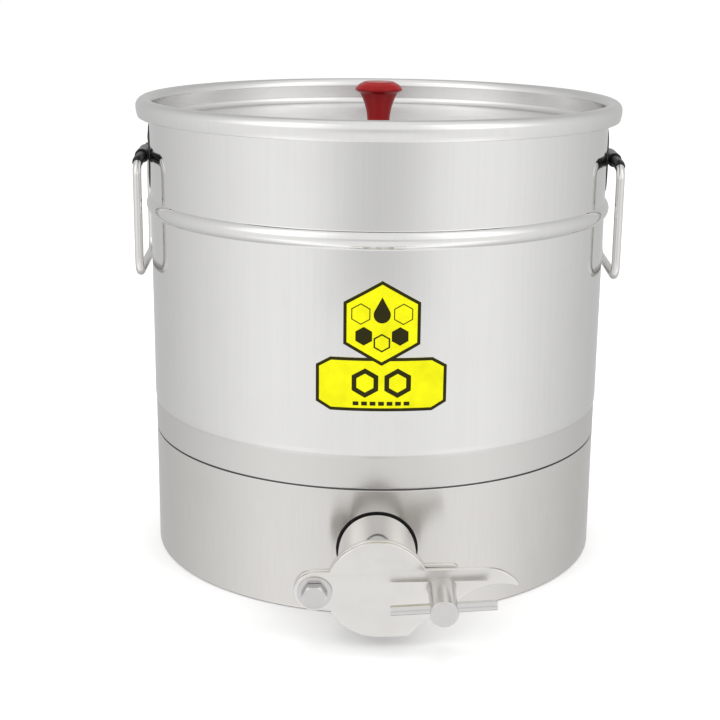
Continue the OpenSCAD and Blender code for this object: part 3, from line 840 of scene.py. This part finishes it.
def shrunk(loop, amount):
    """The outline moved towards the material on its left."""
    result = []
    for before, point, after in zip(loop[-1:] + loop[:-1], loop, loop[1:] + loop[:1]):
        d1, d2 = (point - before).normalized(), (after - point).normalized()
        side = Vector((-d1.y, d1.x)) + Vector((-d2.y, d2.x))
        side.normalize()
        facing = max(0.5, side.dot(Vector((-d1.y, d1.x))))
        result.append(point + side * (amount / facing))
    return result


def plate(loops, z0, z1, ease, steps=3):
    """A flat plate with rounded edges from outlines: the outer one runs left, holes run right."""
    verts, faces, caps = [], [], {}
    levels = []
    for i in range(steps + 1):
        a = math.pi / 2 * i / steps
        levels.append((ease * (1 - math.sin(a)), z0 + ease * (1 - math.cos(a))))
    levels += [(inset, z0 + z1 - z) for inset, z in reversed(levels)]
    for loop in loops:
        starts = []
        for inset, z in levels:
            starts.append(len(verts))
            verts += [Vector((p.x, p.y, z)) for p in shrunk(loop, inset)]
        n = len(loop)
        for low, high in zip(starts, starts[1:]):
            for k in range(n):
                faces.append((low + k, low + (k + 1) % n, high + (k + 1) % n, high + k))
        caps.setdefault("low", []).append((starts[0], n))
        caps.setdefault("high", []).append((starts[-1], n))
    for groups in caps.values():
        flat = [[verts[s + k] for k in range(n)] for s, n in groups]
        order = [s + k for s, n in groups for k in range(n)]
        faces += [tuple(order[i] for i in tri) for tri in tessellate_polygon(flat)]
    return verts, faces


def build_plates():
    for name, node, body, ease in (("valve_flange_plate", "valve_flange", "tank", 0.45),
                                   ("gate_swing_plate", "gate_plate", "gate", 0.6)):
        loops, top = front_loops(node)
        part = plate(loops, top - PLATE_T, top, ease)
        make(name, moved(part, OUTLET), VALVE, body, [node], 30)


# ---------------------------------------------------------------- bails
def rod_path_points():
    """The middle line of a bail, seen from outside: (along the hinge, height)."""
    w, d, b = BAIL_HALF_W, BAIL_DROP, BAIL_BEND
    corners = [(w - b, -b, 0), (-w + b, -b, 90), (-w + b, -d + b, 180), (w - b, -d + b, 270)]
    path = []
    for cy, cz, start in corners:
        path += arc(cy, cz, b, start, start + 90, 12)
    return supported(path, reach=2.0)


def sweep(path, radius, steps=28, closed=True):
    """Rings of a round rod along a path in the plane of the bail."""
    rings = []
    count = len(path)
    for i, (y, z) in enumerate(path):
        before = Vector(path[i - 1] if closed or i else path[i])
        after = Vector(path[(i + 1) % count] if closed or i < count - 1 else path[i])
        tangent = (after - before).normalized()
        side = Vector((-tangent.y, tangent.x))
        r = radius(i) if callable(radius) else radius
        ring = []
        for k in range(steps):
            a = 2 * math.pi * k / steps
            offset = side * (r * math.cos(a))
            ring.append(Vector((r * math.sin(a), y + offset.x, z + offset.y)))
        rings.append(ring)
    return rings


def sleeve_part():
    w, b = BAIL_HALF_W, BAIL_BEND
    path = arc(w - b, -b, b, 90 - SLEEVE_TURN, 90, 8)
    path += arc(-w + b, -b, b, 90, 90 + SLEEVE_TURN, 8)
    path = supported(path, closed=False, reach=2.0)
    outer = sweep(path, SLEEVE_R, closed=False)
    inner = sweep(path, BAIL_R + 0.03, closed=False)
    lip = [sweep(path, SLEEVE_R - 0.25, closed=False)[i] for i in (0, -1)]
    rings = [inner[0], lip[0]] + outer[1:-1] + [lip[1], inner[-1]] + inner[-2:0:-1]
    return skin(rings, wrap_rings=True)


def leaf_part():
    """A leaf with two round sides, bent round the wall, with eased edges."""
    arc_r = ((LEAF_H / 2) ** 2 + (LEAF_W / 2) ** 2) / LEAF_W
    rows = 36
    across = [-1, -0.97, -0.8, -0.5, -0.2, 0, 0.2, 0.5, 0.8, 0.97, 1]
    lift = [0.55, 0.9] + [1.0] * 7 + [0.9, 0.55]
    axis_r = on_bail(1).translation.xy.length
    rings = []
    for i in range(rows + 1):
        t = -0.985 + 1.97 * i / rows
        h = t * LEAF_H / 2
        half = math.sqrt(max(0.01, arc_r ** 2 - h ** 2)) - (arc_r - LEAF_W / 2)
        z = LEAF_Z + h - on_bail(1).translation.z
        ring = []
        for share, rise in zip(across, lift):
            y = share * half
            ring.append(Vector((math.sqrt((VESSEL_R + rise) ** 2 - y * y) - axis_r, y, z)))
        for share in reversed(across):
            y = share * half
            ring.append(Vector((math.sqrt((VESSEL_R + 0.02) ** 2 - y * y) - axis_r, y, z)))
        rings.append(ring)
    return skin(rings)


def clip_part():
    half = CLIP_W / 2
    path = [(CLIP_BORE, -half, 0.2), (CLIP_R, -half, 0.35)]
    path += [(CLIP_R, half, 0.35), (CLIP_BORE, half, 0.2)]
    tube = lathe(supported(outline(path)), 64)
    return moved(tube, Matrix.Rotation(math.pi / 2, 4, "X"))


def rivet_part(z):
    base = on_bail(1).translation
    wall_x = VESSEL_R + 1.0 - base.xy.length
    dome = [(RIVET_HEAD, 0), (RIVET_HEAD, 0.2, 0.15)]
    dome += [(RIVET_HEAD * math.cos(a), 0.2 + 0.9 * math.sin(a)) for a in (0.25, 0.5, 0.75, 1.0, 1.25, 1.5)]
    head = lathe(outline(dome, closed=False), 48, closed=False)
    shank = lathe([(RIVET_SHANK_R, -2.2), (RIVET_SHANK_R, 0.1)], 32, closed=False)
    near, far = RIVET_TAIL_NEAR, RIVET_TAIL_FAR
    tail_path = [(1.0, far), (RIVET_HEAD, far, 0.5), (RIVET_HEAD, near, 0.1), (1.0, near)]
    tail = lathe(outline(tail_path, closed=False), 48, closed=False)
    place = Matrix.Translation((wall_x, 0, z - base.z)) @ Matrix.Rotation(math.pi / 2, 4, "Y")
    return moved(joined(head, shank, tail), place)


def build_bails():
    for side, name in ((1, "right"), (-1, "left")):
        base = on_bail(side)
        rod = skin(sweep(rod_path_points(), BAIL_R), wrap_rings=True)
        make(name + "_bail_rod", moved(rod, base), ROD, name + "_bail", [name + "_bail"])
        make(name + "_bail_tube", moved(sleeve_part(), base), SLEEVE, name + "_bail",
             [name + "_bail_sleeve"])
        make(name + "_bracket_leaf", moved(joined(leaf_part(), clip_part()), base), ENAMEL, "tank",
             [name + "_bracket"], 50)
        make(name + "_rivets", moved(joined(*[rivet_part(z) for z in RIVET_Z]), base), FASTENER, "tank",
             [name + "_bracket_rivets"])


# ---------------------------------------------------------------- labels
def strips(loops, z, radius, thick, shift=LABEL_X):
    """A thin print or label from outlines in x and z, cut into upright strips and bent round the wall."""
    shape = bmesh.new()
    flat = [[Vector((x + shift, 0, h)) for x, h in loop] for loop in loops]
    verts = [shape.verts.new(p) for loop in flat for p in loop]
    for tri in tessellate_polygon(flat):
        shape.faces.new([verts[i] for i in tri])
    step = 1.5
    count = int(PLAQUE_HALF_W / step) + 1
    for i in range(-count, count + 1):
        geometry = shape.verts[:] + shape.edges[:] + shape.faces[:]
        bmesh.ops.bisect_plane(shape, geom=geometry, plane_co=(i * step, 0, 0), plane_no=(1, 0, 0))
    bmesh.ops.dissolve_limit(shape, angle_limit=0.01, verts=shape.verts[:], edges=[
        e for e in shape.edges if abs(e.verts[0].co.x - e.verts[1].co.x) > 1e-5 and len(e.link_faces) == 2])
    bmesh.ops.triangulate(shape, faces=shape.faces[:])
    shape.verts.index_update()
    faces = [[v.index for v in f.verts] for f in shape.faces]
    border = [(e.verts[0].index, e.verts[1].index) for e in shape.edges if len(e.link_faces) == 1]
    points = [v.co.copy() for v in shape.verts]
    shape.free()

    def bent(r):
        return [Vector((p.x, -math.sqrt(r * r - p.x * p.x), p.z + z)) for p in points]

    n = len(points)
    sides = [(a, b, b + n, a + n) for a, b in border]
    back = [tuple(i + n for i in reversed(f)) for f in faces]
    return bent(radius + thick) + bent(radius), [tuple(f) for f in faces] + back + sides


def ring_loops(points, inset):
    """An outline with a parallel hole inside it."""
    loop = [Vector(p) for p in points]
    if area(loop) < 0:
        loop.reverse()
    return [[tuple(p) for p in loop], [tuple(p) for p in reversed(shrunk(loop, inset))]]


def cell(x, z, size):
    """A honeycomb cell with a point at the top."""
    angles = [math.radians(30 + 60 * i) for i in range(6)]
    return [(x + size * math.cos(a), z + size * math.sin(a)) for a in angles]


def drop(x, z, size):
    """A drop of honey."""
    body = arc(x, z, size, -210, 30, 20)
    return body + [(x, z + 2.1 * size)]


def emblem_outline():
    w, s, p = EMBLEM_HALF_W, EMBLEM_SIDE, EMBLEM_POINT
    return [(0, s + p), (-w, s), (-w, -s), (0, -s - p), (w, -s), (w, s)]


def plaque_outline():
    w, h = PLAQUE_HALF_W, PLAQUE_HALF_H
    cx, cz = 8.5, 5.0
    notch_z = EMBLEM_Z - EMBLEM_SIDE - EMBLEM_POINT - PLAQUE_Z
    notch_x = (h - notch_z) * EMBLEM_HALF_W / EMBLEM_POINT
    points = [(-w, h - cz), (-w, -h + cz), (-w + cx, -h), (w - cx, -h), (w, -h + cz), (w, h - cz)]
    points += [(w - cx, h), (notch_x, h), (0, notch_z), (-notch_x, h), (-w + cx, h)]
    return points


def plaque_border():
    """The black edge of the plaque, open where the emblem's tip lies over it."""
    h = PLAQUE_HALF_H
    outer = plaque_outline()
    rim = outer[:7] + outer[10:]
    start = rim.index(outer[10])
    ordered = rim[start:] + rim[:start]
    slope = EMBLEM_HALF_W / EMBLEM_POINT
    notch = outer[7][0]
    inner = [tuple(p) for p in shrunk([Vector(p) for p in ordered], BORDER)]
    low = notch - BORDER * slope
    return [(-notch, h)] + ordered + [(notch, h), (low, h - BORDER)] + inner[::-1] + [(-low, h - BORDER)]


def bar(x, z, half_w, half_h):
    low, high = z - half_h, z + half_h
    return [(x - half_w, low), (x + half_w, low), (x + half_w, high), (x - half_w, high)]


def print_on(name, shapes, z, radius):
    parts = [strips(loops, z, radius, INK_T) for loops in shapes]
    make(name, joined(*parts), INK, "tank")


def build_labels():
    face_r = VESSEL_R + LABEL_T - INK_T
    base = VESSEL_R + 0.01
    make("emblem_vinyl", strips([emblem_outline()], EMBLEM_Z, base, face_r - base),
         VINYL, "tank", ["emblem_label"])
    make("plaque_vinyl", strips([plaque_outline()], PLAQUE_Z, base, face_r - base),
         VINYL, "tank", ["capacity_label"])
    shapes = [ring_loops(emblem_outline(), BORDER), [drop(0, 5.2, 5.0)]]
    shapes += [ring_loops(cell(x, 5.6, 6.4), 0.6) for x in (-12.4, 12.4)]
    shapes += [[cell(x, -7.6, 5.6)] for x in (-10.6, 10.6)]
    shapes += [ring_loops(cell(0, -11.6, 5.6), 0.9)]
    print_on("emblem_print", shapes, EMBLEM_Z, face_r)
    marks = [[plaque_border()]]
    marks += [ring_loops(cell(x, 0.9, 9.0), 2.8) for x in (-9.6, 9.6)]
    marks += [[bar(x, -11.6, 1.7, 1.2)] for x in range(-15, 16, 5)]
    print_on("plaque_print", marks, PLAQUE_Z, face_r)


# ---------------------------------------------------------------- hidden hardware
def dress_nodes():
    """CAD nodes that keep their shape and only get a material."""
    for node, material in (("tank_floor", SATIN), ("rim_wire", FASTENER), ("gate_seal", RUBBER),
                           ("knob_insert", BRASS), ("knob_screw", FASTENER), ("knob_washer", FASTENER)):
        slots = frame["nodes"][node].material_slots
        for item in slots:
            item.material = material


# ---------------------------------------------------------------- stage, light and camera
# The studio is bright in front and falls off behind the tank, with a soft box at each side
# and a dimmer patch behind the camera. Bearings from the front and heights are in degrees.
FRONT_TONE, BACK_TONE = 1.02, 0.6
FALL_START, FALL_END = 50, 160
BOX_BEARING, BOX_SPREAD = 50, 40
BOX_LEVEL, BOX_BELOW, BOX_ABOVE = 0.05, 0.35, 0.6
DIM_PATCH, DIM_SPREAD = 0.25, 40
OVERHEAD_TONE = 1.0
FLOOR_TOP, FLOOR_START, FLOOR_NEAR, FLOOR_CLOSE = -12, -15, -25, -40
SKY_START, SKY_FULL, OVERHEAD_START, OVERHEAD_FULL = 0, 15, 50, 75
DIFFUSE_TONE, BACKDROP_TONE = 1.2, 1.02


def lobe(tree, bearing, middle, spread):
    """A soft patch: 1 in its middle, fading to 0 at its edge."""
    away = math_node(tree, "ABSOLUTE", math_node(tree, "SUBTRACT", bearing, middle))
    return remap(tree, away, 0, spread, 1, 0, True)


def build_world():
    world = bpy.data.worlds.new("studio")
    bpy.context.scene.world = world
    world.use_nodes = True
    tree = world.node_tree
    ground = tree.nodes["Background"]
    place = tree.nodes.new("ShaderNodeTexCoord").outputs["Generated"]
    parts = tree.nodes.new("ShaderNodeSeparateXYZ")
    tree.links.new(place, parts.inputs[0])
    forward = math_node(tree, "MULTIPLY", parts.outputs["Y"], -1)
    bearing = math_node(tree, "ABSOLUTE", math_node(tree, "ARCTAN2", parts.outputs["X"], forward))
    bearing = math_node(tree, "MULTIPLY", bearing, math.degrees(1))
    height = parts.outputs["Z"]

    def between(start, end):
        low, high = (math.sin(math.radians(a)) for a in (start, end))
        return remap(tree, height, low, high, 0, 1, True)

    tone = remap(tree, bearing, FALL_START, FALL_END, FRONT_TONE, BACK_TONE, True)
    gain = mixed_value(tree, between(FLOOR_NEAR, FLOOR_CLOSE), BOX_LEVEL, BOX_BELOW)
    gain = mixed_value(tree, between(SKY_START, SKY_FULL), gain, BOX_ABOVE)
    boxes = math_node(tree, "MULTIPLY", lobe(tree, bearing, BOX_BEARING, BOX_SPREAD), gain)
    dim = math_node(tree, "MULTIPLY", lobe(tree, bearing, 0, DIM_SPREAD), -DIM_PATCH)
    dim = mixed_value(tree, between(FLOOR_TOP, FLOOR_START), dim, 0.0)
    dim = mixed_value(tree, between(SKY_START, SKY_FULL), dim, 0.0)
    value = math_node(tree, "ADD", tone, math_node(tree, "ADD", boxes, dim))
    value = mixed_value(tree, between(OVERHEAD_START, OVERHEAD_FULL), value, OVERHEAD_TONE)
    path = tree.nodes.new("ShaderNodeLightPath")
    value = mixed_value(tree, path.outputs["Is Diffuse Ray"], value, DIFFUSE_TONE)
    value = mixed_value(tree, path.outputs["Is Camera Ray"], value, BACKDROP_TONE)
    ground.inputs["Color"].default_value = (1, 1, 1, 1)
    tree.links.new(value, ground.inputs["Strength"])


def floor_piece(name, part, z, material, in_mirrors):
    verts, faces = part
    mesh = bpy.data.meshes.new(name)
    mesh.from_pydata(verts, [], faces)
    mesh.materials.append(material)
    piece = bpy.data.objects.new(name, mesh)
    piece.location.z = z
    piece.visible_glossy = in_mirrors
    bpy.context.scene.collection.objects.link(piece)


# The floor, the lights and the camera are placed in metres.
FLOOR_HALF = 6.0
FLOOR_Z, PATCH_Z = -0.0004, -0.0002
LIGHT_TARGET, SOFTBOX_SIZE = (0, 0, 0.12), 1.1
SOFTBOXES = (
    ("left_softbox", (-1.6, -1.5, 1.7), 14),
    ("right_softbox", (1.7, -1.4, 1.8), 14),
    ("top_softbox", (0, 0.3, 2.4), 16),
)
CAMERA_PLACE = (-0.01636, -0.98348, 0.38585)
CAMERA_YAW, CAMERA_PITCH, CAMERA_ROLL = 0.34, 15.09, 0.58
SENSOR_W, LENS = 36, 73.99


def build_stage():
    """A pale floor. Only the round patch under the tank shows in the steel: the world does the rest."""
    wide = [Vector((x * FLOOR_HALF, y * FLOOR_HALF, 0)) for x, y in ((-1, -1), (1, -1), (1, 1), (-1, 1))]
    patch = [Vector((x * MM, y * MM, 0)) for x, y in arc(0, 0, NEST_IN_R, 0, 360, FINE)[:-1]]
    material = floor_material()
    floor_piece("studio_floor", (wide, [(0, 1, 2, 3)]), FLOOR_Z, material, False)
    floor_piece("studio_floor_patch", (patch, [tuple(range(FINE))]), PATCH_Z, material, True)


def build_light():
    """Soft lights that the steel doesn't mirror."""
    for name, place, power in SOFTBOXES:
        data = bpy.data.lights.new(name, "AREA")
        data.shape, data.size, data.energy = "DISK", SOFTBOX_SIZE, power
        lamp = bpy.data.objects.new(name, data)
        lamp.location = place
        lamp.rotation_euler = (Vector(LIGHT_TARGET) - Vector(place)).to_track_quat("-Z", "Y").to_euler()
        lamp.visible_glossy = False
        bpy.context.scene.collection.objects.link(lamp)


def build_camera():
    data = bpy.data.cameras.new("photo_camera")
    data.sensor_width, data.lens = SENSOR_W, LENS
    camera = bpy.data.objects.new("photo_camera", data)
    yaw, pitch, roll = (math.radians(a) for a in (CAMERA_YAW, CAMERA_PITCH, CAMERA_ROLL))
    facing = Vector((math.sin(yaw) * math.cos(pitch), math.cos(yaw) * math.cos(pitch), -math.sin(pitch)))
    level = Vector((math.cos(yaw), -math.sin(yaw), 0))
    right = math.cos(roll) * level + math.sin(roll) * level.cross(facing)
    up = right.cross(facing)
    camera.matrix_world = Matrix((right, up, -facing)).transposed().to_4x4()
    camera.location = CAMERA_PLACE
    bpy.context.scene.collection.objects.link(camera)
    bpy.context.scene.camera = camera


def studio_colours():
    view = bpy.context.scene.view_settings
    view.view_transform, view.look = "Standard", "None"


build_vessel()
build_outlet()
build_lid()
build_fasteners()
build_clamp()
build_plates()
build_bails()
build_labels()
dress_nodes()
build_world()
build_stage()
build_light()
build_camera()
studio_colours()
